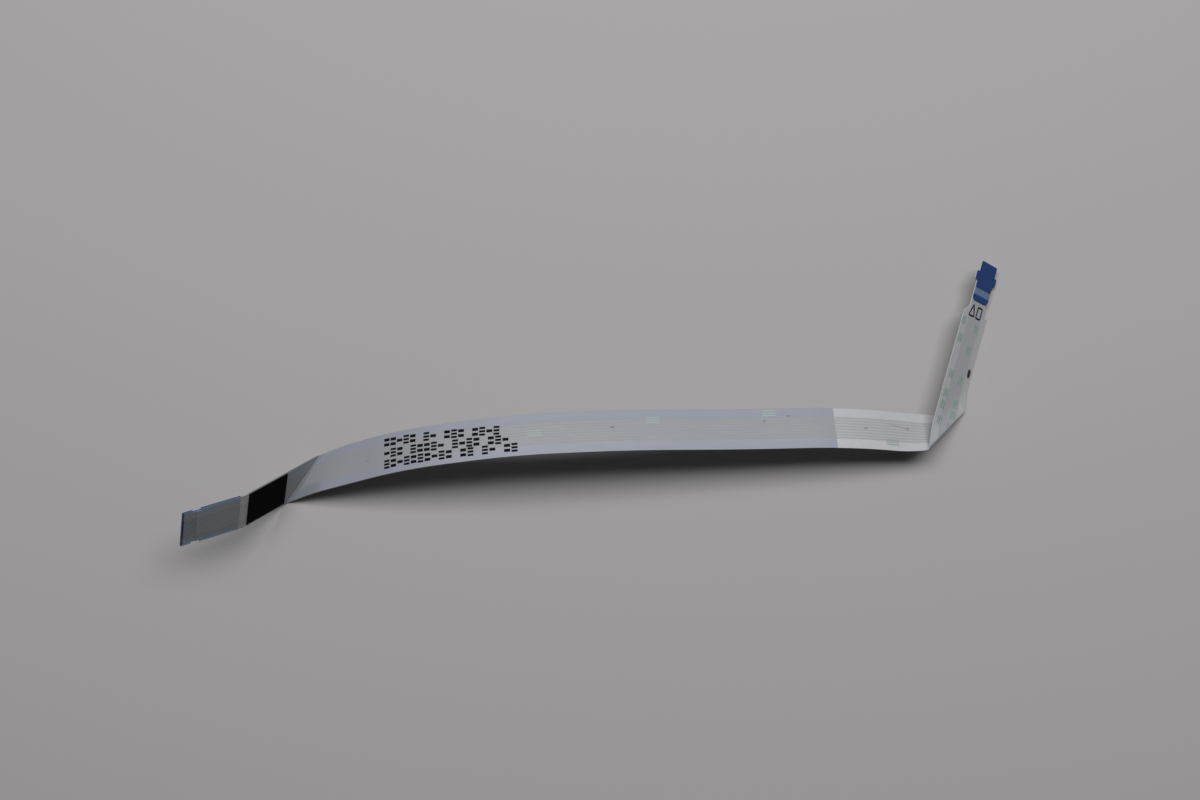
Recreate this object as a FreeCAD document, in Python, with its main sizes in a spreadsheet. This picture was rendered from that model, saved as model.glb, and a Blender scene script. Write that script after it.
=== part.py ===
import FreeCAD, Part
import math
import os

from FreeCAD import Placement, Rotation, Vector
from Sketcher import Constraint

# Flat flexible cable of a touchpad. Every layer is first laid out on the flat cable:
#   u  along the cable, from the touchpad tip
#   v  across it, from the centre line
#   n  out of the face with the contacts, from the face of the base film under the conductors
# The flat cable is then bent along straight lines, which keeps every length on it.
# A bend turns towards +n where its turn is positive. Its line leans away from square by its lean.
# The folded cable stands on three points of its own edges.

SIZES = {
    # the cable in the flat
    "cable_length": 161.5,
    "cable_width": 7.0,
    "base_film_thickness": 0.08,
    "contact_film_thickness": 0.10,
    "conductor_pitch": 0.5,
    "conductor_width": 0.3,
    "conductor_thickness": 0.05,
    "bare_contact_length": 2.4,
    # touchpad tip
    "stiffener_thickness": 0.18,
    "touchpad_stiffener_length": 9.9,
    "notch_from_tip": 1.75,
    "notch_length": 1.35,
    "notch_depth": 0.3,
    # board tip
    "tongue_width": 4.5,
    "tongue_length": 8.5,
    "board_stiffener_length": 6.5,
    "ear_from_tip": 1.8,
    "ear_length": 1.4,
    "ear_reach": 0.7,
    # tapes
    "black_tape_length": 8.2,
    "black_tape_width": 6.6,
    "black_tape_thickness": 0.1,
    "tape_shift": 0.15,
    "tape_clearance": 0.05,
    "cover_tape_length": 102.2,
    "cover_tape_thickness": 0.05,
    # bend behind the touchpad stiffener
    "tip_bend_turn": -14.6,
    "tip_bend_band": 1.3,
    "tip_bend_clearance": 0.05,
    # sharp crease beside the black tape, and the softer bend that follows it
    "near_crease_gap": 0.5,
    "near_crease_lean": 43.1,
    "near_crease_turn": 114.3,
    "near_crease_band": 0.7,
    "flank_turn": -12.3,
    "flank_band": 3.8,
    "flank_gap": 2.6,
    # the long run rises in an arch of five arcs
    "arch_gap": 1.0,
    "arch_flat": 3.8,
    "arch_turn_first": -16.2,
    "arch_turn_second": -11.7,
    "arch_turn_third": -5.5,
    "arch_turn_fourth": 2.5,
    "arch_turn_fifth": -14.4,
    "arch_end_gap": 0.5,
    # diagonal crease, where the short end is folded over and sprung open
    "board_crease_lean": 47.3,
    "board_crease_turn": 135.0,
    "board_crease_band": 1.0,
    "short_end_length": 28.7,
    # softer bends on both sides of the diagonal crease
    "board_before_turn": 19.6,
    "board_before_band": 2.5,
    "board_before_gap": 0.8,
    "board_after_turn": -15.8,
    "board_after_band": 2.5,
    "board_after_gap": 0.8,
    # how the cable lies
    "lie_angle": 15.0,
}

CONDUCTORS = 8
ARCH = ("first", "second", "third", "fourth", "fifth")
NEAR_CREASE = 1
BOARD_AFTER = -1
STEP_OF_TURN = 9.0
FOOT_STEPS = 60
FOOT_PASSES = 6


def make_sheet(doc):
    """The driving sizes: names in column A, plain numbers in column B."""
    sheet = doc.addObject("Spreadsheet::Sheet", "Sizes")
    for row, (name, value) in enumerate(SIZES.items(), start=1):
        sheet.set("A%d" % row, name)
        sheet.set("B%d" % row, str(value))
        sheet.setAlias("B%d" % row, name)
    doc.recompute()
    return sheet


class Bend:
    """A band of the cable rolled round a straight line."""

    def __init__(self, place, lean, turn, band):
        self.lean = math.radians(lean)
        self.turn = math.radians(turn)
        self.band = band
        self.radius = band / self.turn
        reach = band / 2 / math.cos(self.lean)
        self.start = place - reach
        self.end = place + reach
        self.along = Vector(math.sin(self.lean), math.cos(self.lean), 0)
        self.across = Vector(math.cos(self.lean), -math.sin(self.lean), 0)

    def rolled(self, distance):
        """Placement of the ruling that lies at this distance into the band."""
        centre = Vector(self.start, 0, 0) + Vector(0, 0, self.radius)
        slide = Placement(self.across * -distance, Rotation())
        angle = -math.degrees(distance / self.radius)
        roll = Placement(Vector(), Rotation(self.along, angle), centre)
        return roll * slide


class Panel:
    """A flat stretch between two bend lines, with its place on the folded cable."""

    def __init__(self, start, start_lean, end, end_lean, place):
        self.start = start
        self.start_lean = start_lean
        self.end = end
        self.end_lean = end_lean
        self.place = place


def lay_out_bends(s):
    """Bends in order from the touchpad tip, each placed from the one before it."""
    half = s.cable_width / 2
    tip_place = s.touchpad_stiffener_length + s.tip_bend_clearance + s.tip_bend_band / 2
    bends = [Bend(tip_place, 0, s.tip_bend_turn, s.tip_bend_band)]

    lean = math.radians(s.near_crease_lean)
    tape_end = black_tape_start(s) + s.black_tape_length
    tape_low = s.black_tape_width / 2 - s.tape_shift
    near_place = (tape_end + s.near_crease_gap + tape_low * math.tan(lean)
                  + s.near_crease_band / 2 / math.cos(lean))
    bends.append(Bend(near_place, s.near_crease_lean, s.near_crease_turn, s.near_crease_band))
    step = (s.near_crease_band / 2 + s.flank_gap + s.flank_band / 2) / math.cos(lean)
    bends.append(Bend(near_place + step, s.near_crease_lean, s.flank_turn, s.flank_band))

    arch_start = bends[-1].end + half * math.tan(lean) + s.arch_gap

    lean = math.radians(s.board_crease_lean)
    board_place = s.cable_length - s.short_end_length
    step = ((s.board_crease_band + s.board_before_band) / 2 + s.board_before_gap) / math.cos(lean)
    before = Bend(board_place - step, s.board_crease_lean, s.board_before_turn,
                  s.board_before_band)
    board = Bend(board_place, s.board_crease_lean, s.board_crease_turn, s.board_crease_band)
    step = ((s.board_crease_band + s.board_after_band) / 2 + s.board_after_gap) / math.cos(lean)
    after = Bend(board_place + step, s.board_crease_lean, s.board_after_turn, s.board_after_band)

    arch_end = before.start - half * math.tan(lean) - s.arch_end_gap
    band = (arch_end - arch_start - (len(ARCH) - 1) * s.arch_flat) / len(ARCH)
    for index, name in enumerate(ARCH):
        place = arch_start + band / 2 + index * (band + s.arch_flat)
        bends.append(Bend(place, 0, getattr(s, "arch_turn_" + name), band))
    return bends + [before, board, after]


def black_tape_start(s):
    return (s.touchpad_stiffener_length + s.tip_bend_clearance + s.tip_bend_band
            + s.tape_clearance)


def fold(bends, length):
    """Flat panels between the bends, carried along by every bend before them."""
    panels = []
    place = Placement()
    start, lean = 0.0, 0.0
    for bend in bends:
        bend.place = place
        panels.append(Panel(start, lean, bend.start, bend.lean, place))
        place = place * bend.rolled(bend.band)
        start, lean = bend.end, bend.lean
    panels.append(Panel(start, lean, length, 0.0, place))
    return panels


class Cable:
    """The folded cable, on which the layers are laid."""

    def __init__(self, s):
        self.bends = lay_out_bends(s)
        self.panels = fold(self.bends, s.cable_length)

    def section(self, profile, place, line, lean):
        """The layer's profile, cut along a line across the cable."""
        points = [place.multVec(Vector(line + v * math.tan(lean), v, n)) for v, n in profile]
        return Part.makePolygon(points + points[:1])

    def flat_piece(self, profile, panel, start, end):
        start_lean = 0.0 if start > panel.start else panel.start_lean
        end_lean = 0.0 if end < panel.end else panel.end_lean
        first = self.section(profile, panel.place, max(start, panel.start), start_lean)
        last = self.section(profile, panel.place, min(end, panel.end), end_lean)
        return Part.makeLoft([first, last], True, True)

    def square_bend_piece(self, profile, bend, start, end):
        """A profile turned about the axis of a bend that lies square to the cable."""
        start, end = max(start, bend.start), min(end, bend.end)
        into = start - bend.start
        place = bend.place * bend.rolled(into)
        face = Part.Face(self.section(profile, place, start, 0.0))
        axis_at = bend.place.multVec(Vector(bend.start, 0, bend.radius))
        axis = bend.place.Rotation.multVec(bend.along * -1)
        angle = math.degrees((end - start) / bend.radius)
        if angle < 0:
            axis, angle = axis * -1, -angle
        return face.revolve(axis_at, axis, angle)

    def crease_piece(self, profile, bend):
        """A profile carried round a bend line that leans across the cable."""
        steps = 2 * math.ceil(abs(math.degrees(bend.turn)) / STEP_OF_TURN / 2) + 2
        sections = []
        for index in range(steps + 1):
            into = bend.band * index / steps
            line = bend.start + into / math.cos(bend.lean)
            place = bend.place * bend.rolled(into)
            sections.append(self.section(profile, place, line, bend.lean))
        return Part.makeLoft(sections, True, False)

    def layer(self, profile, start, end):
        """One profile laid along the cable between two square cuts."""
        pieces = []
        for index, panel in enumerate(self.panels):
            if start < panel.end and end > panel.start:
                pieces.append(self.flat_piece(profile, panel, start, end))
            if index < len(self.bends):
                bend = self.bends[index]
                if start < bend.end and end > bend.start:
                    if bend.lean == 0:
                        pieces.append(self.square_bend_piece(profile, bend, start, end))
                    else:
                        pieces.append(self.crease_piece(profile, bend))
        return joined(pieces)

    def point(self, u, v, n, panel):
        return self.panels[panel].place.multVec(Vector(u, v, n))


def joined(pieces):
    """One solid out of pieces that meet face to face."""
    if len(pieces) == 1:
        return pieces[0]
    return pieces[0].multiFuse(pieces[1:]).Solids[0]


def bar(width, low, high, shift=0.0):
    """A plain rectangular profile."""
    half = width / 2
    return [(shift - half, low), (shift + half, low), (shift + half, high), (shift - half, high)]


def conductor_places(s):
    middle = (CONDUCTORS - 1) / 2
    return [(index - middle) * s.conductor_pitch for index in range(CONDUCTORS)]


def grooved_bar(s, width):
    """The profile of the upper film: flat on top, with a groove over each conductor."""
    half = width / 2
    profile = [(-half, 0.0)]
    for place in conductor_places(s):
        low, high = place - s.conductor_width / 2, place + s.conductor_width / 2
        profile += [(low, 0.0), (low, s.conductor_thickness)]
        profile += [(high, s.conductor_thickness), (high, 0.0)]
    profile += [(half, 0.0), (half, s.contact_film_thickness), (-half, s.contact_film_thickness)]
    return profile


def base_film(s, cable):
    """The film along the whole cable, punched to its outline at both tips."""
    def stretch(width, start, end):
        return cable.layer(bar(width, -s.base_film_thickness, 0.0), start, end)

    length = s.cable_length
    notch_end = s.notch_from_tip + s.notch_length
    tongue_start = length - s.tongue_length
    ear_start = length - s.ear_from_tip - s.ear_length
    return joined([
        stretch(s.cable_width, 0.0, s.notch_from_tip),
        stretch(s.cable_width - 2 * s.notch_depth, s.notch_from_tip, notch_end),
        stretch(s.cable_width, notch_end, tongue_start),
        stretch(s.tongue_width, tongue_start, ear_start),
        stretch(s.tongue_width + 2 * s.ear_reach, ear_start, length - s.ear_from_tip),
        stretch(s.tongue_width, length - s.ear_from_tip, length),
    ])


def contact_side_film(s, cable):
    """The film over the conductors, which leaves them bare at both tips."""
    notch_end = s.notch_from_tip + s.notch_length
    tongue_start = s.cable_length - s.tongue_length
    pieces = []
    body_start = max(notch_end, s.bare_contact_length)
    if s.bare_contact_length < notch_end:
        narrow = grooved_bar(s, s.cable_width - 2 * s.notch_depth)
        pieces.append(cable.layer(narrow, s.bare_contact_length, notch_end))
    pieces.append(cable.layer(grooved_bar(s, s.cable_width), body_start, tongue_start))
    tongue = grooved_bar(s, s.tongue_width)
    pieces.append(cable.layer(tongue, tongue_start, s.cable_length - s.bare_contact_length))
    return joined(pieces)


def conductor(s, cable, place):
    profile = bar(s.conductor_width, 0.0, s.conductor_thickness, place)
    return cable.layer(profile, 0.0, s.cable_length)


def white_cover_tape(s, cable):
    start = black_tape_start(s)
    low = s.contact_film_thickness
    profile = bar(s.cable_width, low, low + s.cover_tape_thickness)
    return cable.layer(profile, start, start + s.cover_tape_length)


def add_feature(doc, name, shape, lie):
    feature = doc.addObject("Part::Feature", name)
    feature.Label = name
    feature.Shape = shape
    feature.Placement = lie
    return feature


def origin_plane(body, role):
    return [f for f in body.Origin.OriginFeatures if f.Role == role][0]


def sketch_on(body, name):
    sketch = body.newObject("Sketcher::SketchObject", name)
    sketch.AttachmentSupport = [(origin_plane(body, "XY_Plane"), "")]
    sketch.MapMode = "FlatFace"
    return sketch


def draw_rectangle(sketch, left, low, length, width):
    """Four lines with their corners joined, drawn near their final size."""
    corners = [Vector(left, low, 0), Vector(left + length, low, 0),
               Vector(left + length, low + width, 0), Vector(left, low + width, 0)]
    for index in range(4):
        sketch.addGeometry(Part.LineSegment(corners[index], corners[(index + 1) % 4]))
    for index in range(4):
        sketch.addConstraint(Constraint("Coincident", index, 2, (index + 1) % 4, 1))
    sketch.addConstraint([Constraint("Horizontal", 0), Constraint("Horizontal", 2),
                          Constraint("Vertical", 1)])


def bind(sketch, kind, first, second, value, expression):
    """A driving distance between two points, tied to the sheet."""
    index = sketch.addConstraint(Constraint(kind, *first, *second, value))
    sketch.setExpression("Constraints[%d]" % index, expression)


ORIGIN_POINT = (-1, 1)
X_AXIS = -1
LOW_LEFT = (0, 1)
LOW_RIGHT = (0, 2)
HIGH_RIGHT = (1, 2)
HIGH_LEFT = (3, 1)


def centred_plate(doc, name, length, width, thickness, from_origin):
    """A rectangular plate centred on the X axis, tied to the sheet by three expressions."""
    body = doc.addObject("PartDesign::Body", name)
    body.Label = name
    sketch = sketch_on(body, name + "_outline")
    start, start_value = from_origin
    draw_rectangle(sketch, start_value, -width[1] / 2, length[1], width[1])
    sketch.addConstraint(Constraint("Symmetric", *LOW_LEFT, *HIGH_LEFT, X_AXIS))
    if start is None:
        sketch.addConstraint(Constraint("PointOnObject", *LOW_LEFT, -2))
    else:
        bind(sketch, "DistanceX", ORIGIN_POINT, LOW_LEFT, start_value, start)
    bind(sketch, "DistanceX", LOW_LEFT, LOW_RIGHT, length[1], length[0])
    bind(sketch, "DistanceY", LOW_RIGHT, HIGH_RIGHT, width[1], width[0])
    pad = body.newObject("PartDesign::Pad", name + "_pad")
    pad.Profile = sketch
    pad.setExpression("Length", thickness)
    doc.recompute()
    return body


def side_rectangle(body, name, place, low, length, width):
    """A rectangle on the upper side of the plate; each argument is an expression and its value."""
    sketch = sketch_on(body, name)
    draw_rectangle(sketch, place[1], low[1], length[1], width[1])
    sketch.addConstraint(Constraint("Vertical", 3))
    bind(sketch, "DistanceX", ORIGIN_POINT, LOW_LEFT, place[1], place[0])
    bind(sketch, "DistanceY", ORIGIN_POINT, LOW_LEFT, low[1], low[0])
    bind(sketch, "DistanceX", LOW_LEFT, LOW_RIGHT, length[1], length[0])
    bind(sketch, "DistanceY", LOW_RIGHT, HIGH_RIGHT, width[1], width[0])
    return sketch


def mirrored(doc, body, feature):
    mirror = body.newObject("PartDesign::Mirrored", feature.Name + "_mirror")
    mirror.Originals = [feature]
    mirror.MirrorPlane = (origin_plane(body, "XZ_Plane"), [""])
    body.Tip = mirror
    doc.recompute()


def touchpad_end_stiffener(doc, s):
    body = centred_plate(
        doc, "touchpad_end_stiffener",
        ("Sizes.touchpad_stiffener_length", s.touchpad_stiffener_length),
        ("Sizes.cable_width", s.cable_width),
        "Sizes.stiffener_thickness", (None, 0.0))
    low = s.cable_width / 2 - s.notch_depth
    sketch = side_rectangle(
        body, "notch_outline",
        ("Sizes.notch_from_tip", s.notch_from_tip),
        ("Sizes.cable_width / 2 - Sizes.notch_depth", low),
        ("Sizes.notch_length", s.notch_length),
        ("Sizes.notch_depth * 2", s.notch_depth * 2))
    notch = body.newObject("PartDesign::Pocket", "notch")
    notch.Profile = sketch
    notch.Type = "ThroughAll"
    notch.Reversed = True
    doc.recompute()
    mirrored(doc, body, notch)
    return body


def board_end_stiffener(doc, s):
    body = centred_plate(
        doc, "board_end_stiffener",
        ("Sizes.board_stiffener_length", s.board_stiffener_length),
        ("Sizes.tongue_width", s.tongue_width),
        "Sizes.stiffener_thickness",
        ("Sizes.cable_length - Sizes.board_stiffener_length",
         s.cable_length - s.board_stiffener_length))
    place = s.cable_length - s.ear_from_tip - s.ear_length
    sketch = side_rectangle(
        body, "ear_outline",
        ("Sizes.cable_length - Sizes.ear_from_tip - Sizes.ear_length", place),
        ("Sizes.tongue_width / 4", s.tongue_width / 4),
        ("Sizes.ear_length", s.ear_length),
        ("Sizes.tongue_width / 4 + Sizes.ear_reach", s.tongue_width / 4 + s.ear_reach))
    ear = body.newObject("PartDesign::Pad", "ear")
    ear.Profile = sketch
    ear.setExpression("Length", "Sizes.stiffener_thickness")
    doc.recompute()
    mirrored(doc, body, ear)
    return body


def black_tape(doc, s):
    return centred_plate(
        doc, "black_tape",
        ("Sizes.black_tape_length", s.black_tape_length),
        ("Sizes.black_tape_width", s.black_tape_width),
        "Sizes.black_tape_thickness",
        ("Sizes.touchpad_stiffener_length + Sizes.tip_bend_clearance + Sizes.tip_bend_band"
         " + Sizes.tape_clearance", black_tape_start(s)))


def lying_placement(s, cable):
    """Stands the folded cable on three points of its edges."""
    half = s.cable_width / 2
    near_edge = edge_of_bend(cable.bends[NEAR_CREASE], -half, -s.base_film_thickness)
    short_end_edge = edge_of_bend(cable.bends[BOARD_AFTER], half, s.contact_film_thickness)
    near_foot = near_edge[FOOT_STEPS // 2]
    board_foot = short_end_edge[FOOT_STEPS // 2]
    end_foot = cable.point(s.cable_length - s.tongue_length, half,
                           s.contact_film_thickness, -1)
    for _ in range(FOOT_PASSES):
        along = (end_foot - near_foot).normalize()
        up = (board_foot - near_foot).cross(along).normalize()
        near_foot = min(near_edge, key=up.dot)
        board_foot = min(short_end_edge, key=up.dot)
    to_axes = Rotation(along, up.cross(along), up, "XZY").inverted()
    turn = Rotation(Vector(0, 0, 1), s.lie_angle) * to_axes
    return Placement(turn.multVec(near_foot) * -1, turn)


def edge_of_bend(bend, v, n):
    """Points along one edge of a layer, where a bend rolls it."""
    points = []
    for step in range(FOOT_STEPS + 1):
        into = bend.band * step / FOOT_STEPS
        line = bend.start + into / math.cos(bend.lean) + v * math.tan(bend.lean)
        place = bend.place * bend.rolled(into)
        points.append(place.multVec(Vector(line, v, n)))
    return points


def centred_on_floor(shapes, lie):
    """Moves the cable so that its box stands on the floor, centred on the origin."""
    box = FreeCAD.BoundBox()
    for shape in shapes:
        copy = shape.copy()
        copy.Placement = lie * copy.Placement
        box.add(copy.optimalBoundingBox(False))
    shift = Vector(-(box.XMin + box.XMax) / 2, -(box.YMin + box.YMax) / 2, -box.ZMin)
    return Placement(shift, Rotation()) * lie


class Values:
    """The sheet's numbers, read back by name."""

    def __init__(self, sheet):
        for name in SIZES:
            setattr(self, name, float(sheet.get(name)))


def check(doc, parts):
    for item in doc.Objects:
        if "Invalid" in item.State or "Error" in item.State:
            raise RuntimeError("%s did not compute: %s" % (item.Name, item.State))
    for part in parts:
        if part.Shape.isNull() or not part.Shape.isValid() or len(part.Shape.Solids) != 1:
            raise RuntimeError("%s is not one valid solid" % part.Label)


def main():
    os.makedirs("parts", exist_ok=True)
    doc = FreeCAD.newDocument("TouchpadCable")
    sheet = make_sheet(doc)
    s = Values(sheet)
    cable = Cable(s)

    film = base_film(s, cable)
    upper_film = contact_side_film(s, cable)
    lie = centred_on_floor([film, upper_film], lying_placement(s, cable))
    parts = [add_feature(doc, "base_film", film, lie),
             add_feature(doc, "contact_side_film", upper_film, lie),
             add_feature(doc, "white_cover_tape", white_cover_tape(s, cable), lie)]
    for index, place in enumerate(conductor_places(s), start=1):
        shape = conductor(s, cable, place)
        parts.append(add_feature(doc, "conductor_%d" % index, shape, lie))

    below = Placement(Vector(0, 0, -s.base_film_thickness - s.stiffener_thickness), Rotation())
    above = Placement(Vector(0, s.tape_shift, s.contact_film_thickness + s.cover_tape_thickness),
                      Rotation())
    touchpad = touchpad_end_stiffener(doc, s)
    touchpad.Placement = lie * cable.panels[0].place * below
    board = board_end_stiffener(doc, s)
    board.Placement = lie * cable.panels[-1].place * below
    tape = black_tape(doc, s)
    tape.Placement = lie * cable.panels[1].place * above
    parts += [touchpad, board, tape]

    doc.recompute()
    check(doc, parts)
    for bend in cable.bends:
        print("bend at %.2f to %.2f, radius %.2f, turn %.1f"
              % (bend.start, bend.end, bend.radius, math.degrees(bend.turn)))
    for part in parts:
        box = part.Shape.BoundBox
        print("%-24s volume %8.3f  z %.3f to %.3f" % (part.Label, part.Shape.Volume,
                                                     box.ZMin, box.ZMax))
        part.Shape.exportStep("parts/%s.step" % part.Label)


main()
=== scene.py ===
import math

import bpy
import numpy as np
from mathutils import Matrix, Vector


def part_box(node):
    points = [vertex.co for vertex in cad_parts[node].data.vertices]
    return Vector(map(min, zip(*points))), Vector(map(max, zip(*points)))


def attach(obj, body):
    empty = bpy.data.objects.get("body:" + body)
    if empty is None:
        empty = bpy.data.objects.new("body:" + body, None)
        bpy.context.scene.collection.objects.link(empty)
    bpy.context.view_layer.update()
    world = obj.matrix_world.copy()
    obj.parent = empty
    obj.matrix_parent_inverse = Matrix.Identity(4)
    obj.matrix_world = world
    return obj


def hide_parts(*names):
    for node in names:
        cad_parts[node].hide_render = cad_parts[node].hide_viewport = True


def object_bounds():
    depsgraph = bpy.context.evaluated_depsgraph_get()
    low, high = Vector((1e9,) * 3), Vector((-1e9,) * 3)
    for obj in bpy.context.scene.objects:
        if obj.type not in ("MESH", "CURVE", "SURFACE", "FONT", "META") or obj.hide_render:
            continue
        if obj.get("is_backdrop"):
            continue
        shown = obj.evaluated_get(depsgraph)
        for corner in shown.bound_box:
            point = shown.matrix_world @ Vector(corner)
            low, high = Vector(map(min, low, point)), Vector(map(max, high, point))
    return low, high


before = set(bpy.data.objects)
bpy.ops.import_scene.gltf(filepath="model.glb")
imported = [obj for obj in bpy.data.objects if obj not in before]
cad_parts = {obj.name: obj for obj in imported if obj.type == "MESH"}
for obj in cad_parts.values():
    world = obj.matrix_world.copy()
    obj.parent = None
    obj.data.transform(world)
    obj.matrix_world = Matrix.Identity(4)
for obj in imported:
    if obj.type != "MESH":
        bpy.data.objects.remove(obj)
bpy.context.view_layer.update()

MM = 0.001

# Sizes of the flat cable and of its bends, in millimetres and degrees.
# Places on the flat cable are given as along it from the touchpad tip, across it, and out of
# the face with the contacts.
LENGTH = 161.5
HALF = 3.5
BASE = 0.08
FILM = 0.10
PITCH = 0.5
CONDUCTORS = 8
CONDUCTOR_WIDTH = 0.3
CONDUCTOR_HEIGHT = 0.05
BARE = 2.4
STIFFENER = 0.18
TOUCHPAD_STIFFENER = 9.9
NOTCH_FROM, NOTCH_TO, NOTCH_DEPTH = 1.75, 3.1, 0.3
TONGUE_HALF, TONGUE_LENGTH = 2.25, 8.5
SLANT_FROM, SLANT_TO = 8.8, 7.6
END_CUT, STEP_RUN, EAR_CUT = 0.12, 0.05, 0.1
BOARD_STIFFENER, STIFFENER_ROUND = 6.5, 0.6
EAR_FROM, EAR_TO, EAR_REACH = 1.8, 3.2, 0.7
TIP_TURN, TIP_BAND, TIP_CLEARANCE, BLACK_CLEARANCE = -14.6, 1.3, 0.05, 0.05
BLACK_START = TOUCHPAD_STIFFENER + TIP_CLEARANCE + TIP_BAND + BLACK_CLEARANCE
BLACK_LENGTH, BLACK_WIDTH, BLACK_HEIGHT, BLACK_SHIFT = 8.2, 6.6, 0.1, 0.15
COVER_LENGTH, COVER = 102.2, 0.05
NEAR_GAP, NEAR_LEAN, NEAR_TURN, NEAR_BAND = 0.5, 43.1, 114.3, 0.7
FLANK_TURN, FLANK_BAND, FLANK_GAP = -12.3, 3.8, 2.6
ARCH_TURNS = (-16.2, -11.7, -5.5, 2.5, -14.4)
ARCH_GAP, ARCH_FLAT, ARCH_END_GAP = 1.0, 3.8, 0.5
BOARD_LEAN, BOARD_TURN, BOARD_BAND, SHORT_END = 47.3, 135.0, 1.0, 28.7
BEFORE_TURN, AFTER_TURN, SIDE_BAND, SIDE_GAP = 19.6, -15.8, 2.5, 0.8
LIE_ANGLE = 15.0
BASE_RIDGE, FILM_RIDGE, COVER_RIDGE = 0.005, 0.014, 0.005
RIDGE_FOOT, RIDGE_TOP = 0.2, 0.11

# How finely the shapes are divided, in millimetres, degrees and steps
FLAT_STEP, BEND_STEP, BEND_ANGLE, LEAST_BEND_STEPS = 1.2, 0.8, 5, 3
SQUARE_MARGIN, LEAST_SPACING = 0.2, 1e-4
EDGE_STEPS, FOOT_ROUNDS, ROUND_PLACES = 60, 6, 6
MARK_STEP, MIDDLE_PLACES = 0.7, 120
SHARP_ANGLE = 35

# Camera
CAMERA_RISE = 87.08
CAMERA_DISTANCE = 262.4
SENSOR_WIDTH, IMAGE_WIDTH, FOCAL_PIXELS = 36, 1200, 1582.4
CAMERA_AIM = (0.13, 0.53)
CAMERA_TURN = 0.27

rise, turn = math.radians(CAMERA_RISE), math.radians(CAMERA_TURN)
back = Vector((math.sin(turn) * math.cos(rise), -math.cos(turn) * math.cos(rise), math.sin(rise)))
camera_data = bpy.data.cameras.new("camera")
camera_data.lens = FOCAL_PIXELS / IMAGE_WIDTH * SENSOR_WIDTH
camera_data.sensor_width = SENSOR_WIDTH
camera_data.clip_start = 0.01
camera = bpy.data.objects.new("camera", camera_data)
camera.location = (Vector((*CAMERA_AIM, 0)) + back * CAMERA_DISTANCE) * MM
camera.rotation_euler = back.to_track_quat("Z", "Y").to_euler()
bpy.context.scene.collection.objects.link(camera)
bpy.context.scene.camera = camera


def rotation(axis, angle):
    """The matrix of a turn about a unit axis."""
    x, y, z = axis
    cross = np.array([[0, -z, y], [z, 0, -x], [-y, x, 0]])
    return np.eye(3) + math.sin(angle) * cross + (1 - math.cos(angle)) * cross @ cross


class Bend:
    """A band of the cable rolled round a straight line."""

    def __init__(self, place, lean, turn, band):
        self.place = place
        self.lean = math.radians(lean)
        self.turn = math.radians(turn)
        self.band = band
        self.radius = band / self.turn
        reach = band / 2 / math.cos(self.lean)
        self.start, self.end = place - reach, place + reach
        self.axis = np.array([math.sin(self.lean), math.cos(self.lean), 0.0])
        self.across = np.array([math.cos(self.lean), -math.sin(self.lean), 0.0])

    def rolled(self, points, into):
        """Points beside the band's start line, carried into the roll."""
        centre = np.array([self.start, 0.0, self.radius])
        arm = points - self.across * into - centre
        return arm @ rotation(self.axis, -into / self.radius).T + centre


def lay_out_bends():
    """Bends in order from the touchpad tip, each placed from the one before it."""
    tip_place = TOUCHPAD_STIFFENER + TIP_CLEARANCE + TIP_BAND / 2
    bends = [Bend(tip_place, 0, TIP_TURN, TIP_BAND)]
    slope = math.tan(math.radians(NEAR_LEAN))
    cosine = math.cos(math.radians(NEAR_LEAN))
    place = (BLACK_START + BLACK_LENGTH + NEAR_GAP + (BLACK_WIDTH / 2 - BLACK_SHIFT) * slope
             + NEAR_BAND / 2 / cosine)
    bends.append(Bend(place, NEAR_LEAN, NEAR_TURN, NEAR_BAND))
    place += (NEAR_BAND / 2 + FLANK_GAP + FLANK_BAND / 2) / cosine
    bends.append(Bend(place, NEAR_LEAN, FLANK_TURN, FLANK_BAND))
    arch_start = bends[-1].end + HALF * slope + ARCH_GAP

    slope = math.tan(math.radians(BOARD_LEAN))
    cosine = math.cos(math.radians(BOARD_LEAN))
    board = LENGTH - SHORT_END
    step = ((BOARD_BAND + SIDE_BAND) / 2 + SIDE_GAP) / cosine
    before = Bend(board - step, BOARD_LEAN, BEFORE_TURN, SIDE_BAND)
    arch_end = before.start - HALF * slope - ARCH_END_GAP
    band = (arch_end - arch_start - (len(ARCH_TURNS) - 1) * ARCH_FLAT) / len(ARCH_TURNS)
    for index, arch_turn in enumerate(ARCH_TURNS):
        place = arch_start + band / 2 + index * (band + ARCH_FLAT)
        bends.append(Bend(place, 0, arch_turn, band))
    bends.append(before)
    bends.append(Bend(board, BOARD_LEAN, BOARD_TURN, BOARD_BAND))
    bends.append(Bend(board + step, BOARD_LEAN, AFTER_TURN, SIDE_BAND))
    return bends


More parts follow.
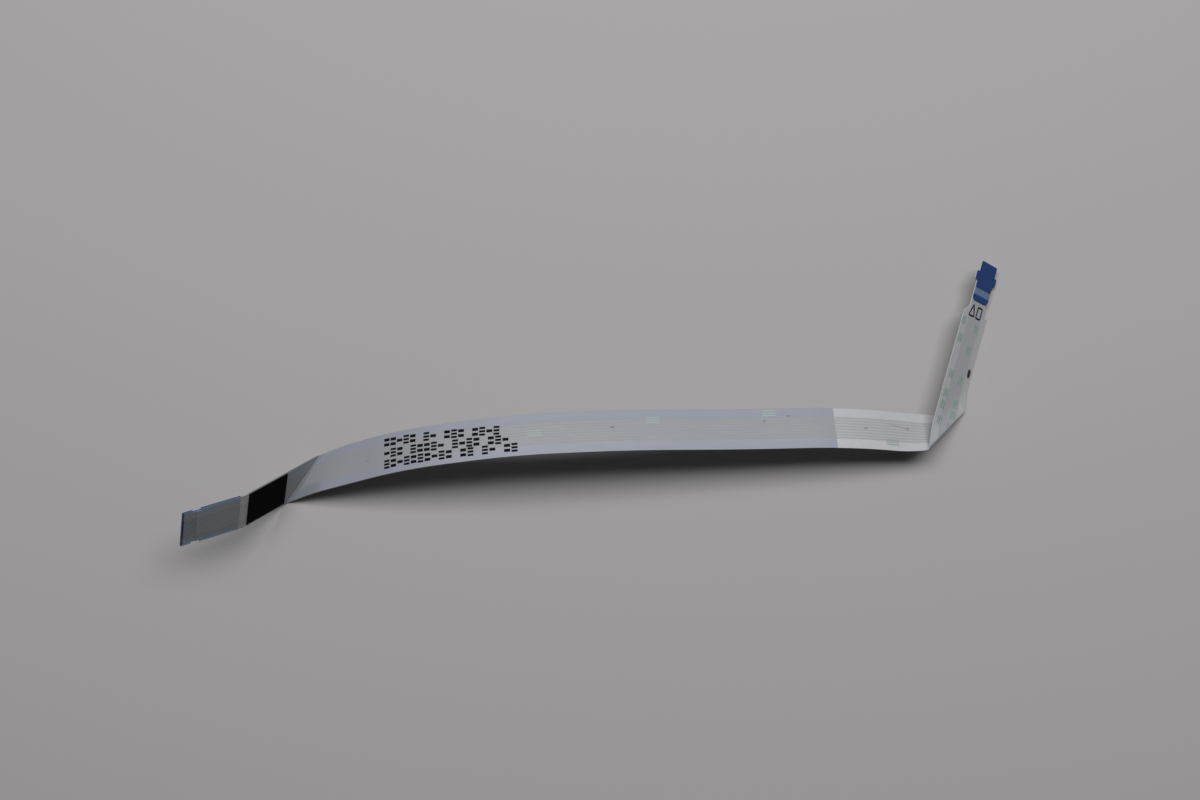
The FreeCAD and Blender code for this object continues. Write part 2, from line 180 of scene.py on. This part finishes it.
class Cable:
    """Carries points of the flat cable to their places on the folded one."""

    def __init__(self):
        self.bends = lay_out_bends()
        self.turns = [np.eye(3)]
        self.shifts = [np.zeros(3)]
        for bend in self.bends:
            axes = np.vstack([np.zeros(3), np.eye(3)])
            ends = bend.rolled(axes, bend.band) @ self.turns[-1].T + self.shifts[-1]
            self.turns.append((ends[1:] - ends[0]).T)
            self.shifts.append(ends[0])
        self.lie, self.move = np.eye(3), np.zeros(3)
        self.lie, self.move = self.lying()

    def place(self, points):
        """Points of the flat cable, where they are on the folded cable as it lies."""
        points = np.asarray(points, float)
        out = np.empty_like(points)
        for index, point in enumerate(points):
            panel = len(self.bends)
            local = point
            for number, bend in enumerate(self.bends):
                into = (point[:2] - (bend.start, 0)) @ bend.across[:2]
                if into < bend.band:
                    panel = number
                    if into > 0:
                        local = bend.rolled(point[None, :], into)[0]
                    break
            out[index] = self.turns[panel] @ local + self.shifts[panel]
        return out @ self.lie.T + self.move

    def edge_of_bend(self, bend, v, n):
        """Points of one long edge of the cable, round a bend."""
        into = np.linspace(0, bend.band, EDGE_STEPS + 1)
        along = bend.start + into / math.cos(bend.lean) + v * math.tan(bend.lean)
        return self.place(np.c_[along, np.full(len(into), v), np.full(len(into), n)])

    def lying(self):
        """Stands the folded cable on three points of its edges."""
        near_edge = self.edge_of_bend(self.bends[1], -HALF, -BASE)
        short_edge = self.edge_of_bend(self.bends[-1], HALF, FILM)
        end_foot = self.place([[LENGTH - TONGUE_LENGTH, HALF, FILM]])[0]
        near_foot, board_foot = near_edge[EDGE_STEPS // 2], short_edge[EDGE_STEPS // 2]
        for _ in range(FOOT_ROUNDS):
            up = np.cross(board_foot - near_foot, end_foot - near_foot)
            up /= np.linalg.norm(up)
            near_foot = near_edge[np.argmin(near_edge @ up)]
            board_foot = short_edge[np.argmin(short_edge @ up)]
        along = end_foot - near_foot
        along -= up * (along @ up)
        along /= np.linalg.norm(along)
        lie = np.stack([along, np.cross(up, along), up])
        lie = rotation((0, 0, 1), math.radians(LIE_ANGLE)) @ lie
        return lie, -lie @ near_foot


cable = Cable()


def conductor_places():
    """The conductors' middle lines, across the cable."""
    middle = (CONDUCTORS - 1) / 2
    return [(index - middle) * PITCH for index in range(CONDUCTORS)]


def stations(start, end, square):
    """Lines across the cable, as (place on the centre line, slope), close together in bends.

    The cuts at the start and at the end are square, and so is every line beyond `square`."""
    edges = [0.0] + [x for bend in cable.bends for x in (bend.start, bend.end)] + [LENGTH]
    leans = [0.0] + [x for bend in cable.bends for x in (bend.lean, bend.lean)] + [0.0]
    lines = []
    for index in range(len(edges) - 1):
        low, high = edges[index], edges[index + 1]
        low_lean, high_lean = leans[index], leans[index + 1]
        if high <= start or low >= end:
            continue
        if low < start:
            low, low_lean = start, 0.0
        if high > end:
            high, high_lean = end, 0.0
        spans = [(low, low_lean, high, high_lean)]
        if low < square < high:
            spans = [(low, low_lean, square, 0.0), (square, 0.0, high, high_lean)]
        for a, a_lean, b, b_lean in spans:
            count = math.ceil(max((b - a) / FLAT_STEP, 1))
            if index % 2:
                angle = abs(math.degrees(cable.bends[index // 2].turn))
                count = math.ceil(max(angle / BEND_ANGLE, (b - a) / BEND_STEP, LEAST_BEND_STEPS))
            for step in range(count + 1):
                t = step / count
                slope = (1 - t) * math.tan(a_lean) + t * math.tan(b_lean)
                lines.append((a + (b - a) * t, slope))
    return lines


def piece_from(name, flat, faces):
    """A mesh object from points of the flat cable, which it keeps as the attribute `flat`."""
    mesh = bpy.data.meshes.new(name)
    mesh.from_pydata((cable.place(flat) * MM).tolist(), [], faces)
    mesh.validate()
    kept = mesh.attributes.new("flat", "FLOAT_VECTOR", "POINT")
    kept.data.foreach_set("vector", np.asarray(flat, np.float32).ravel())
    mesh.shade_smooth()
    mesh.set_sharp_from_angle(angle=math.radians(SHARP_ANGLE))
    piece = bpy.data.objects.new(name, mesh)
    bpy.context.scene.collection.objects.link(piece)
    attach(piece, "root")
    return piece


def sweep(name, profile, outline, start, end, shift=0.0):
    """One layer of the cable: a closed profile carried along it, as wide as the outline says.

    The outline's lines are (place, half width on the low side, half width on the high side)."""
    places, lows, highs = zip(*outline)
    lines = stations(start, end, LENGTH - SLANT_FROM - SQUARE_MARGIN)
    lines += [(place, 0.0) for place in places if start <= place <= end]
    lines = sorted(set((round(place, 5), round(slope, 6)) for place, slope in lines))
    lines = [line for index, line in enumerate(lines)
             if index == 0 or line[0] - lines[index - 1][0] > LEAST_SPACING]
    flat = []
    for place, slope in lines:
        low, high = float(np.interp(place, places, lows)), float(np.interp(place, places, highs))
        for v, n in profile(-low, high):
            flat.append((place + v * slope, v + shift, n))
    count = len(profile(-HALF, HALF))
    faces = [list(range(count))]
    for row in range(len(lines) - 1):
        for side in range(count):
            near, far = side, (side + 1) % count
            faces.append([row * count + near, (row + 1) * count + near,
                          (row + 1) * count + far, row * count + far])
    faces.append(list(range((len(lines) - 1) * count, len(lines) * count))[::-1])
    return piece_from(name, np.array(flat), faces)


def ridge_line(left, right, level, rise):
    """Points across a film that stands out a little over each conductor."""
    line = [(left, level)]
    for place in conductor_places():
        line += [(place - RIDGE_FOOT, level), (place - RIDGE_TOP, level + rise)]
        line += [(place + RIDGE_TOP, level + rise), (place + RIDGE_FOOT, level)]
    return line + [(right, level)]


def ridged(low, high, rise):
    """A film's profile whose high side stands out over the conductors."""
    def profile(left, right):
        return [(left, low), (right, low)] + ridge_line(left, right, high, rise)[::-1]
    return profile


def ridged_below(low, high, rise):
    """A film's profile whose low side stands out over the conductors."""
    def profile(left, right):
        return ridge_line(left, right, low, -rise) + [(right, high), (left, high)]
    return profile


def plain(low, high, middle=0.0):
    """A flat layer's profile, from one level to another."""
    def profile(left, right):
        return [(middle + left, low), (middle + right, low), (middle + right, high),
                (middle + left, high)]
    return profile


def even(lines):
    """An outline with the same half width on both sides."""
    return [(place, half, half) for place, half in lines]


def film_outline():
    """Half widths along the film, with the notches, the tongue and its ears.

    One shoulder of the tongue is cut on the slant."""
    narrow = HALF - NOTCH_DEPTH
    ear = TONGUE_HALF + EAR_REACH
    tongue = LENGTH - TONGUE_LENGTH
    tip = even([(0.0, HALF - END_CUT), (END_CUT, HALF), (NOTCH_FROM - STEP_RUN, HALF),
                (NOTCH_FROM, narrow), (NOTCH_TO, narrow), (NOTCH_TO + STEP_RUN, HALF),
                (LENGTH - SLANT_FROM, HALF)])
    slope = (HALF - TONGUE_HALF) / (SLANT_FROM - SLANT_TO)
    before, after = [TONGUE_HALF + (LENGTH - SLANT_TO - place) * slope
                     for place in (tongue - STEP_RUN, tongue)]
    shoulder = [(tongue - STEP_RUN, before, HALF), (tongue, after, TONGUE_HALF),
                (LENGTH - SLANT_TO, TONGUE_HALF, TONGUE_HALF)]
    ear_start, ear_end = LENGTH - EAR_TO, LENGTH - EAR_FROM
    return tip + shoulder + even(
        [(ear_start - STEP_RUN, TONGUE_HALF), (ear_start, ear - EAR_CUT),
         (ear_start + EAR_CUT, ear), (ear_end - EAR_CUT, ear),
         (ear_end, ear - EAR_CUT), (ear_end + STEP_RUN, TONGUE_HALF),
         (LENGTH - END_CUT, TONGUE_HALF), (LENGTH, TONGUE_HALF - END_CUT)])


def board_stiffener_outline():
    """Half widths of the board end's stiffener, whose inner corners are round."""
    start = LENGTH - BOARD_STIFFENER
    rounded = [(start + STIFFENER_ROUND * (1 - math.cos(angle)),
                TONGUE_HALF - STIFFENER_ROUND * (1 - math.sin(angle)))
               for angle in np.linspace(0, math.pi / 2, ROUND_PLACES)]
    return even(rounded) + [line for line in film_outline() if line[0] > rounded[-1][0]]


outline = film_outline()
base_film = sweep("base_film_sheet", ridged_below(-BASE, 0.0, BASE_RIDGE), outline,
                  0.0, LENGTH)
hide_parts("base_film")

contact_film = sweep("contact_side_film_sheet", ridged(0.0, FILM, FILM_RIDGE), outline,
                     BARE, LENGTH - BARE)
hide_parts("contact_side_film")

cover_end = BLACK_START + COVER_LENGTH
cover_tape = sweep("white_cover_tape_sheet", ridged(FILM, FILM + COVER, COVER_RIDGE),
                   even([(BLACK_START, HALF), (cover_end, HALF)]), BLACK_START, cover_end)
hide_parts("white_cover_tape")

black_end = BLACK_START + BLACK_LENGTH
black_tape = sweep("black_tape_piece", plain(FILM + COVER, FILM + COVER + BLACK_HEIGHT),
                   even([(BLACK_START, BLACK_WIDTH / 2), (black_end, BLACK_WIDTH / 2)]),
                   BLACK_START, black_end, BLACK_SHIFT)
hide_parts("black_tape")

touchpad_stiffener = sweep("touchpad_stiffener_plate", plain(-BASE - STIFFENER, -BASE), outline,
                           0.0, TOUCHPAD_STIFFENER)
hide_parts("touchpad_end_stiffener")

board_stiffener = sweep("board_stiffener_plate", plain(-BASE - STIFFENER, -BASE),
                        board_stiffener_outline(), LENGTH - BOARD_STIFFENER, LENGTH)
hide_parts("board_end_stiffener")

conductors = []
for number, place in enumerate(conductor_places(), start=1):
    strip = sweep("conductor_strip_%d" % number, plain(0.0, CONDUCTOR_HEIGHT, place),
                  even([(0.0, CONDUCTOR_WIDTH / 2), (LENGTH, CONDUCTOR_WIDTH / 2)]), 0.0, LENGTH)
    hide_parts("conductor_%d" % number)
    conductors.append(strip)


def printed(name, strokes):
    """Thin marks on the faces, from strokes as (start, end, width, level, rise)."""
    flat, faces = [], []
    for start, end, width, level, rise in strokes:
        start, end = np.array(start, float), np.array(end, float)
        length = np.linalg.norm(end - start)
        way = (end - start) / length
        side = np.array([-way[1], way[0]]) * width / 2 * (1 if rise > 0 else -1)
        parts = math.ceil(length / MARK_STEP)
        first = len(flat)
        for part in range(parts + 1):
            middle = start + way * length * part / parts
            for place, out in ((middle - side, level), (middle - side, level + rise),
                               (middle + side, level + rise), (middle + side, level)):
                flat.append((*place, out))
        for part in range(parts):
            row = first + part * 4
            for k in range(3):
                faces.append([row + k, row + k + 4, row + k + 5, row + k + 1])
        faces.append([first, first + 1, first + 2, first + 3])
        last = first + parts * 4
        faces.append([last + 3, last + 2, last + 1, last])
    return piece_from(name, np.array(flat), faces)


# Three rows of plain printed cells on the cover tape.
# Each row runs from one place to another; a digit names the stack of bars in a cell, each as
# (offset, height), and a dot is an empty cell.
TOP_LEVEL = FILM + COVER + COVER_RIDGE
LOW_LEVEL = -BASE - BASE_RIDGE
INK_RISE = 0.012
CELL_WIDE = 0.96
STACKS = {"1": ((0.0, 0.5),), "2": ((-0.42, 0.52), (0.42, 0.52)),
          "3": ((-0.57, 0.37), (0.0, 0.37), (0.57, 0.37))}
ROWS = (((40.0, 2.05), (59.6, 1.2), "22132.31.232.2313"),
        ((40.0, 0.1), (61.0, -0.5), "132.32231.3132.231"),
        ((40.0, -1.8), (62.4, -2.0), "3213232132.23.31.23"))

ink = []
for start, end, cells in ROWS:
    start, end = np.array(start), np.array(end)
    way = (end - start) / np.linalg.norm(end - start)
    side = np.array([-way[1], way[0]])
    pitch = np.linalg.norm(end - start) / len(cells)
    for index, cell in enumerate(cells):
        if cell == ".":
            continue
        first = start + way * (index * pitch + (pitch - CELL_WIDE) / 2)
        for offset, tall in STACKS[cell]:
            low = first + side * offset
            ink.append((low, low + way * CELL_WIDE, tall, TOP_LEVEL, INK_RISE))

# An open triangle and an open oblong in the same ink beside the board end's stiffener
OUTLINES = (((152.4, -2.0), (154.3, -1.2), (152.4, -0.4)),
            ((152.35, 0.2), (154.15, 0.2), (154.15, 1.5), (152.35, 1.5)))
OUTLINE_STROKE = 0.28
for places in OUTLINES:
    for start, end in zip(places, places[1:] + places[:1]):
        ink.append((start, end, OUTLINE_STROKE, LOW_LEVEL, -INK_RISE))
print_marks = printed("print_marks", ink)

# Green ladders of three bars: (along, across), on the leg's upper face and on the long run
LEG_LADDERS = ((151.2, -2.9), (148.3, -2.7), (142.2, -2.3), (139.0, -2.4), (137.0, -2.3),
               (134.4, -2.15), (150.6, 1.3), (146.8, 0.7), (141.7, 0.8), (137.8, 1.2),
               (135.8, 0.9), (133.9, 0.5))
RUN_LADDERS = ((65.0, 0.2), (83.9, 1.7), (102.9, 2.75), (123.2, -2.0))
LEG_BAR, LEG_RISE = 1.4, 0.006
RUN_BAR, RUN_RISE = 2.2, 0.004
LADDER_STEP, BAR_WIDTH = 0.42, 0.22


def ladders(places, level, rise, long):
    """Strokes of the ladders' bars, which lie along the cable."""
    strokes = []
    for along, across in places:
        for step in (-LADDER_STEP, 0.0, LADDER_STEP):
            low = (along - long / 2, across + step)
            high = (along + long / 2, across + step)
            strokes.append((low, high, BAR_WIDTH, level, rise))
    return strokes


leg_ladders = printed("leg_green_marks", ladders(LEG_LADDERS, LOW_LEVEL, -LEG_RISE, LEG_BAR))
run_ladders = printed("run_green_marks", ladders(RUN_LADDERS, TOP_LEVEL, RUN_RISE, RUN_BAR))


def srgb(red, green, blue):
    """Screen levels from 0 to 255 as a linear colour."""
    linear = [((x / 255 + 0.055) / 1.055) ** 2.4 if x > 10.3 else x / 255 / 12.92
              for x in (red, green, blue)]
    return (*linear, 1.0)


class Paint:
    """A material under construction, with short ways to add its nodes."""

    def __init__(self, name, colour, roughness):
        self.material = bpy.data.materials.new(name)
        self.material.use_nodes = True
        self.tree = self.material.node_tree
        self.shader = self.tree.nodes["Principled BSDF"]
        self.shader.inputs["Base Color"].default_value = colour
        self.shader.inputs["Roughness"].default_value = roughness
        self._flat = None

    def link(self, source, target):
        self.tree.links.new(source, target)

    def flat_vector(self):
        if self._flat is None:
            attribute = self.tree.nodes.new("ShaderNodeAttribute")
            attribute.attribute_name = "flat"
            split = self.tree.nodes.new("ShaderNodeSeparateXYZ")
            self.link(attribute.outputs["Vector"], split.inputs[0])
            self._flat = attribute.outputs["Vector"], split.outputs
        return self._flat[0]

    def flat(self, part):
        """Along, across or out on the flat cable, as 0, 1 or 2."""
        self.flat_vector()
        return self._flat[1][part]

    def math(self, operation, *values):
        node = self.tree.nodes.new("ShaderNodeMath")
        node.operation = operation
        for socket, value in zip(node.inputs, values):
            if hasattr(value, "node"):
                self.link(value, socket)
            else:
                socket.default_value = value
        return node.outputs[0]

    def ramp(self, value, low, high):
        """A soft step from 0 at `low` to 1 at `high`, which may lie below it."""
        node = self.tree.nodes.new("ShaderNodeMapRange")
        node.interpolation_type = "SMOOTHSTEP"
        self.link(value, node.inputs["Value"])
        ends = (low, high, 0.0, 1.0) if low < high else (high, low, 1.0, 0.0)
        for name, number in zip(("From Min", "From Max", "To Min", "To Max"), ends):
            node.inputs[name].default_value = number
        return node.outputs["Result"]

    def noise(self, scale, detail=3.0, roughness=0.5, stretch=None):
        node = self.tree.nodes.new("ShaderNodeTexNoise")
        node.inputs["Scale"].default_value = scale
        node.inputs["Detail"].default_value = detail
        node.inputs["Roughness"].default_value = roughness
        source = self.flat_vector()
        if stretch:
            mapping = self.tree.nodes.new("ShaderNodeMapping")
            mapping.inputs["Scale"].default_value = stretch
            self.link(source, mapping.inputs["Vector"])
            source = mapping.outputs["Vector"]
        self.link(source, node.inputs["Vector"])
        return node.outputs["Fac"]

    def mix(self, amount, first, second):
        """Mixes two colours by an amount; a colour may be a socket."""
        node = self.tree.nodes.new("ShaderNodeMix")
        node.data_type = "RGBA"
        for name, value in (("Factor", amount), ("A", first), ("B", second)):
            socket = [s for s in node.inputs if s.name == name and s.enabled][0]
            if hasattr(value, "node"):
                self.link(value, socket)
            else:
                socket.default_value = value
        return [s for s in node.outputs if s.enabled][0]

    def tint(self, colour, where, amount, new):
        """The colour with another laid over it by an amount, where `where` is 1."""
        return self.mix(self.math("MULTIPLY", where, amount), colour, new)

    def paint(self, colour):
        self.link(colour, self.shader.inputs["Base Color"])

    def rough(self, value):
        self.link(value, self.shader.inputs["Roughness"])

    def bump(self, height, strength, distance):
        node = self.tree.nodes.new("ShaderNodeBump")
        node.inputs["Strength"].default_value = strength
        node.inputs["Distance"].default_value = distance
        self.link(height, node.inputs["Height"])
        self.link(node.outputs["Normal"], self.shader.inputs["Normal"])

    def spot(self, along, across, long, wide, lean=0.0, soft=0.3):
        """1 inside a small oval spot of the flat cable, 0 outside it."""
        lean = math.radians(lean)
        u = self.math("SUBTRACT", self.flat(0), along)
        v = self.math("SUBTRACT", self.flat(1), across)
        near = self.math("ADD", self.math("MULTIPLY", u, math.cos(lean) * 2 / long),
                         self.math("MULTIPLY", v, math.sin(lean) * 2 / long))
        side = self.math("SUBTRACT", self.math("MULTIPLY", v, math.cos(lean) * 2 / wide),
                         self.math("MULTIPLY", u, math.sin(lean) * 2 / wide))
        far = self.math("ADD", self.math("MULTIPLY", near, near),
                        self.math("MULTIPLY", side, side))
        return self.ramp(far, 1 + soft, 1 - soft)

    def tip_end(self):
        """1 in a narrow line along the touchpad tip's end, 0 elsewhere."""
        return self.ramp(self.flat(0), 0.35, 0.25)

    def cut_edge_shade(self):
        """1 on the cut side faces from the tip to the end of the long run, 0 elsewhere; the dark
        colour laid there is painted shade.
        """
        side = self.ramp(self.math("ABSOLUTE", self.flat(1)), HALF - 0.02, HALF - 0.005)
        run_end = LENGTH - SHORT_END - HALF
        return self.math("MULTIPLY", side, self.ramp(self.flat(0), run_end, run_end - 1))

    def beside(self, bend):
        """Distance from a bend's middle line, along the flat cable's surface."""
        along = self.math("SUBTRACT", self.flat(0), bend.place)
        along = self.math("MULTIPLY", along, math.cos(bend.lean))
        across = self.math("MULTIPLY", self.flat(1), math.sin(bend.lean))
        return self.math("ABSOLUTE", self.math("SUBTRACT", along, across))


FIELD_HALF, SPECK_WIDE, WEAVE = 2.0, 0.3, 0.28
STRIPE_END, STRIPE_WIDE, STRIPE_SOFT = 4.5, 1.05, 0.1


def film_paint():
    """White film: bright margins, a greyer field with a darker line at each conductor.

    It is darker over the blue stiffener, where its rims look blue."""
    white = srgb(177, 178, 181)
    paint = Paint("white_film", white, 0.42)
    across = paint.math("ABSOLUTE", paint.flat(1))
    field = paint.ramp(across, FIELD_HALF, FIELD_HALF - 0.12)
    wave = paint.math("COSINE", paint.math("MULTIPLY", paint.flat(1), 2 * math.pi / PITCH))
    outer = paint.ramp(paint.flat(2), -0.04, -0.06)
    lines = paint.math("MULTIPLY", paint.ramp(wave, 0.2, -0.9), field)
    lines = paint.math("MULTIPLY", lines, paint.math("MULTIPLY_ADD", outer, -0.8, 1.0))
    colour = paint.mix(field, white, srgb(166, 167, 171))
    colour = paint.tint(colour, lines, 0.55, srgb(137, 139, 145))
    over_blue = paint.ramp(paint.flat(0), TOUCHPAD_STIFFENER + 0.1, TOUCHPAD_STIFFENER - 0.1)
    rim = paint.ramp(across, HALF - 0.55, HALF - 0.4)
    colour = paint.mix(over_blue, colour, srgb(118, 121, 127))
    colour = paint.tint(colour, over_blue, rim, srgb(106, 132, 158))
    colour = paint.mix(paint.tip_end(), colour, srgb(44, 52, 78))
    # Painted shade on the cut side faces.
    colour = paint.mix(paint.cut_edge_shade(), colour, srgb(98, 99, 103))
    behind_tip = paint.math("SUBTRACT", paint.ramp(paint.flat(0), BLACK_START, BLACK_START - 0.2),
                            over_blue)
    colour = paint.tint(colour, behind_tip, 0.9, srgb(148, 147, 146))
    mottle = paint.ramp(paint.noise(0.9, 4.0, 0.6), 0.35, 0.7)
    colour = paint.tint(colour, mottle, 0.10, srgb(140, 141, 143))
    speck = paint.spot(143.4, 2.7, 1.55, 0.95, -6)
    colour = paint.tint(colour, speck, outer, srgb(26, 12, 16))
    scratch = paint.spot(124.6, 0.86, 3.7, 0.16, -9)
    colour = paint.tint(colour, scratch, 0.55, srgb(136, 104, 112))
    for along, across, long, level in ((118.7, 0.14, 0.8, 0.5), (126.3, 0.57, 0.5, 0.6)):
        speck = paint.spot(along, across, long, SPECK_WIDE)
        colour = paint.tint(colour, speck, level, srgb(96, 84, 90))
    paint.paint(colour)
    paint.rough(paint.math("MULTIPLY_ADD", paint.noise(2.5, 3.0), 0.12, 0.36))
    paint.bump(paint.noise(1.4, 3.0, 0.5, stretch=(0.35, 1.0, 1.0)), 0.25, 0.00006)
    return paint


def cover_paint():
    """Bluish white tape, a little greyer over the conductors, with a greenish smudge by the
    crease and painted shade along the crease and on the tape before it.
    """
    paint = Paint("cover_tape", srgb(144, 147, 153), 0.42)
    across = paint.math("ABSOLUTE", paint.flat(1))
    field = paint.ramp(across, 2.1, 1.85)
    colour = paint.mix(field, srgb(141, 145, 156), srgb(142, 144, 149))
    # Painted shade on the cut side faces.
    colour = paint.mix(paint.cut_edge_shade(), colour, srgb(92, 94, 100))
    smudge = paint.spot(25.2, -2.7, 5.0, 2.2, soft=0.9)
    colour = paint.tint(colour, smudge, 0.4, srgb(96, 106, 104))
    # Painted shade: a patchy dark band along the crease, and a darker tint on the tape from its
    # start up to the crease.
    crease = paint.ramp(paint.beside(cable.bends[1]), 0.9, 0.1)
    grain = paint.ramp(paint.noise(2.2, 4.0, 0.65), 0.3, 0.7)
    crease_shade = paint.math("MULTIPLY", crease, paint.math("MULTIPLY_ADD", grain, 0.3, 0.35))
    colour = paint.mix(crease_shade, colour, srgb(96, 98, 102))
    shade = paint.ramp(paint.flat(0), cable.bends[1].place + 2.5, cable.bends[1].place - 1.5)
    colour = paint.tint(colour, shade, 0.3, srgb(104, 107, 113))
    for along, across, long, level in ((77.4, 0.63, 0.7, 0.7), (102.0, 1.36, 0.5, 0.6),
                                       (106.0, 2.16, 0.6, 0.5), (37.0, -0.43, 0.6, 0.25)):
        speck = paint.spot(along, across, long, SPECK_WIDE)
        colour = paint.tint(colour, speck, level, srgb(82, 70, 76))
    mottle = paint.ramp(paint.noise(0.45, 4.0, 0.6, stretch=(0.5, 1.0, 1.0)), 0.35, 0.75)
    colour = paint.tint(colour, mottle, 0.12, srgb(128, 132, 142))
    paint.paint(colour)
    paint.rough(paint.math("MULTIPLY_ADD", paint.noise(1.8, 3.0), 0.12, 0.36))
    paint.bump(paint.noise(0.8, 3.0, 0.5, stretch=(0.5, 1.0, 1.0)), 0.3, 0.0001)
    return paint


def black_paint():
    """Matt black tape with a fine woven grain."""
    paint = Paint("black_tape", srgb(9, 9, 9), 0.85)
    paint.shader.inputs["Specular IOR Level"].default_value = 0.05
    warp = paint.math("SINE", paint.math("MULTIPLY", paint.flat(0), 2 * math.pi / WEAVE))
    weft = paint.math("SINE", paint.math("MULTIPLY", paint.flat(1), 2 * math.pi / WEAVE))
    weave = paint.math("MULTIPLY", warp, weft)
    colour = paint.mix(paint.ramp(weave, -0.8, 0.8), srgb(6, 6, 6), srgb(13, 13, 13))
    paint.paint(colour)
    paint.bump(weave, 0.4, 0.00002)
    return paint


def blue_paint():
    """Blue stiffener with one paler stripe across the board end's piece."""
    blue = srgb(16, 57, 113)
    paint = Paint("blue_stiffener", blue, 0.45)
    paint.shader.inputs["Specular IOR Level"].default_value = 0.35
    stripe_end = LENGTH - STRIPE_END
    stripe_start = stripe_end - STRIPE_WIDE
    stripe = paint.math(
        "MULTIPLY",
        paint.ramp(paint.flat(0), stripe_start - STRIPE_SOFT, stripe_start + STRIPE_SOFT),
        paint.ramp(paint.flat(0), stripe_end + STRIPE_SOFT, stripe_end - STRIPE_SOFT))
    streak = paint.ramp(paint.noise(2.0, 3.0, 0.6, stretch=(0.2, 1.6, 1.0)), 0.3, 0.75)
    colour = paint.tint(blue, streak, 0.25, srgb(10, 47, 103))
    stripe = paint.math("MULTIPLY", stripe, paint.math("MULTIPLY_ADD", streak, -0.25, 0.85))
    colour = paint.mix(stripe, colour, srgb(112, 134, 166))
    paint.paint(colour)
    paint.rough(paint.math("MULTIPLY_ADD", paint.noise(3.0, 3.0), 0.15, 0.4))
    paint.bump(paint.noise(6.0, 3.0), 0.15, 0.00002)
    return paint


def tin_paint():
    """Dull tin with fine scratches along the conductors, dark at their cut ends."""
    tin = srgb(158, 161, 168)
    paint = Paint("tinned_copper", tin, 0.42)
    paint.shader.inputs["Metallic"].default_value = 1.0
    scratch = paint.ramp(paint.noise(9.0, 4.0, 0.6, stretch=(0.15, 3.0, 1.0)), 0.35, 0.7)
    colour = paint.tint(tin, scratch, 0.4, srgb(128, 131, 138))
    paint.paint(paint.mix(paint.tip_end(), colour, srgb(62, 70, 92)))
    paint.rough(paint.math("MULTIPLY_ADD", scratch, 0.2, 0.35))
    paint.bump(scratch, 0.2, 0.00001)
    return paint


def ink_paint():
    """Black ink, a little uneven."""
    paint = Paint("black_ink", srgb(10, 10, 12), 0.8)
    paint.shader.inputs["Specular IOR Level"].default_value = 0.1
    speckle = paint.ramp(paint.noise(7.0, 3.0, 0.6), 0.5, 0.8)
    colour = paint.tint(srgb(8, 8, 10), speckle, 0.3, srgb(48, 50, 56))
    paint.paint(colour)
    return paint


def green_paint(name, strong, pale):
    """Worn green ink, patchy between two greens."""
    paint = Paint(name, strong, 0.6)
    patches = paint.ramp(paint.noise(1.6, 4.0, 0.65), 0.3, 0.7)
    paint.paint(paint.mix(patches, strong, pale))
    return paint


PAINTED = (
    (film_paint(), (base_film, contact_film)),
    (cover_paint(), (cover_tape,)),
    (black_paint(), (black_tape,)),
    (blue_paint(), (touchpad_stiffener, board_stiffener)),
    (tin_paint(), conductors),
    (ink_paint(), (print_marks,)),
    (green_paint("green_ink", srgb(108, 142, 124), srgb(140, 164, 150)), (leg_ladders,)),
    (green_paint("faint_green_ink", srgb(146, 160, 160), srgb(154, 162, 165)), (run_ladders,)))
for paint, painted in PAINTED:
    for piece in painted:
        piece.data.materials.append(paint.material)

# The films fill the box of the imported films, and everything on them moves with them
film_low, film_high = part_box("base_film")
corners = np.array([vertex.co for vertex in base_film.data.vertices])
shift = Vector((np.array(film_low) + np.array(film_high)) / 2
               - (corners.min(axis=0) + corners.max(axis=0)) / 2)
shift.z = film_high[2] - corners[:, 2].max()
pieces = [base_film, contact_film, cover_tape, black_tape, touchpad_stiffener, board_stiffener,
          print_marks, leg_ladders, run_ladders, *conductors]
for piece in pieces:
    for vertex in piece.data.vertices:
        vertex.co += shift

middle_line = cable.place([(u, 0.0, 0.0) for u in np.linspace(0, LENGTH, MIDDLE_PLACES)]) * MM
middle_line = [Vector(point) + shift for point in middle_line]

# Floor and light, in metres
FLOOR_SIZE, WORLD_LEVEL = 4, 0.04
KEY_PLACE, KEY_WIDTH, KEY_DEPTH, KEY_LEVEL = (0.02, 0.26, 0.60), 0.72, 0.25, 1.18

bpy.ops.mesh.primitive_plane_add(size=FLOOR_SIZE, location=(0, 0, 0))
floor = bpy.context.object
floor.name = "table_top"
floor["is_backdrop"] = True
floor_paint = Paint("table_top", srgb(160, 158, 158), 0.7)
floor.data.materials.append(floor_paint.material)

world = bpy.data.worlds.new("studio")
bpy.context.scene.world = world
world.use_nodes = True
world.node_tree.nodes["Background"].inputs["Color"].default_value = (1, 1, 1, 1)
world.node_tree.nodes["Background"].inputs["Strength"].default_value = WORLD_LEVEL


def lamp(name, place, width, depth, level):
    """A soft lamp aimed at the cable, which by itself shows a flat colour at this level."""
    place = Vector(place)
    data = bpy.data.lights.new(name, "AREA")
    data.shape = "RECTANGLE"
    data.size = width
    data.size_y = depth
    made = bpy.data.objects.new(name, data)
    made.location = place
    made.rotation_euler = place.to_track_quat("Z", "Y").to_euler()
    data.energy = level * math.pi ** 2 * place.length_squared
    bpy.context.scene.collection.objects.link(made)


lamp("key", KEY_PLACE, KEY_WIDTH, KEY_DEPTH, KEY_LEVEL)

bpy.context.scene.view_settings.view_transform = "Standard"
low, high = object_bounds()
